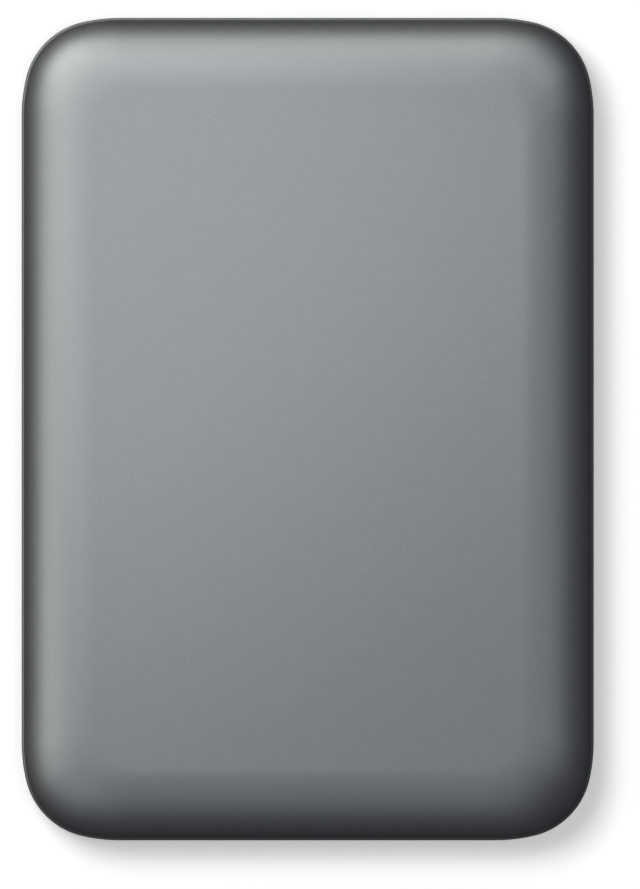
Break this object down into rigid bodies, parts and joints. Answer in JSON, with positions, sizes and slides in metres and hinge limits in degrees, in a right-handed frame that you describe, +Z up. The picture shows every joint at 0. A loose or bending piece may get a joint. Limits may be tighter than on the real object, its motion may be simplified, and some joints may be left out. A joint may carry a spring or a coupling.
{
  "type": "portable external hard drive",
  "caption": "Flat pocket hard drive in a smooth grey two-part case with rolled top edges and a USB socket at one end, with a spinning disc and swinging head arm inside.",
  "frame": {"origin": "on the surface that the feet stand on, under the middle of the case", "axes": "+Z up through the smooth top, +Y along the length towards the USB socket, +X across"},
  "size_m": [0.08, 0.115, 0.0179],
  "materials": {
    "amber_film": "amber film",
    "black_plastic": "black moulded plastic",
    "bumper_rubber": "matt dark rubber",
    "case_plastic": "satin cool grey with a fine grain",
    "cast_aluminium": "machined casting",
    "chip_plastic": "black moulded package",
    "circuit_board": "green solder resist",
    "clear_plastic": "clear polished plastic",
    "copper": "enamelled copper wire",
    "disc_coating": "polished disc",
    "filter_felt": "white felt",
    "foam": "soft open foam",
    "foot_rubber": "matt dark rubber",
    "gasket_rubber": "moulded rubber",
    "gold_contact": "gold flash",
    "head_ceramic": "dark ceramic",
    "lamination": "stamped soft steel",
    "magnet_nickel": "nickel plate",
    "screw_steel": "plated screw steel",
    "steel": "plain steel",
    "tin_can": "bright tinned steel",
    "white_plastic": "plain moulded plastic"
  },
  "bodies": {
    "case": {"air_filter": "filter_felt", "board_screws": "screw_steel", "bottom_cover": "case_plastic", "bridge_board": "circuit_board", "bridge_chip": "chip_plastic", "bridge_crystal": "tin_can", "cache_memory": "chip_plastic", "coil_magnet": "magnet_nickel", "corner_bumper_front_left": "bumper_rubber", "corner_bumper_front_right": "bumper_rubber", "corner_bumper_rear_left": "bumper_rubber", "corner_bumper_rear_right": "bumper_rubber", "cover_gasket": "gasket_rubber", "cover_screws": "screw_steel", "crash_stop_inner": "gasket_rubber", "crash_stop_outer": "gasket_rubber", "drive_base": "cast_aluminium", "drive_board": "circuit_board", "drive_controller": "chip_plastic", "drive_cover": "steel", "flex_bracket": "steel", "flex_circuit": "amber_film", "foam_strip_left": "foam", "foam_strip_right": "foam", "light_pipe": "clear_plastic", "load_ramp": "white_plastic", "motor_driver": "chip_plastic", "motor_sleeve": "steel", "pivot_shaft": "steel", "rubber_foot_front_left": "foot_rubber", "rubber_foot_front_right": "foot_rubber", "rubber_foot_rear_left": "foot_rubber", "rubber_foot_rear_right": "foot_rubber", "sata_contacts": "gold_contact", "sata_plug": "black_plastic", "sata_socket": "black_plastic", "stator_coils": "copper", "stator_core": "lamination", "status_led": "white_plastic", "top_cover": "case_plastic", "usb_contacts": "gold_contact", "usb_shell": "tin_can", "usb_tongue": "black_plastic", "yoke_lower": "lamination", "yoke_upper": "lamination"},
    "spindle": {"spindle_hub": "cast_aluminium", "spindle_shaft": "steel", "rotor_magnet": "magnet_nickel", "platter": "disc_coating", "disc_clamp": "cast_aluminium", "clamp_screw": "screw_steel"},
    "actuator": {"actuator_arm": "cast_aluminium", "pivot_sleeve": "steel", "pivot_bearing_lower": "steel", "pivot_bearing_upper": "steel", "voice_coil": "copper", "suspension_lower": "steel", "suspension_upper": "steel", "head_lower": "head_ceramic", "head_upper": "head_ceramic"}
  },
  "joints": [
    {"name": "spindle_spin", "type": "hinge", "parent": "case", "child": "spindle", "pos_m": [0, -0.01925, 0.0066], "axis": [0, 0, 1], "continuous": true},
    {"name": "actuator_swing", "type": "hinge", "parent": "case", "child": "actuator", "pos_m": [0.017, 0.01696, 0.0066], "axis": [0, 0, 1], "range_deg": [0, 34], "deforming": ["flex_circuit"]}
  ]
}
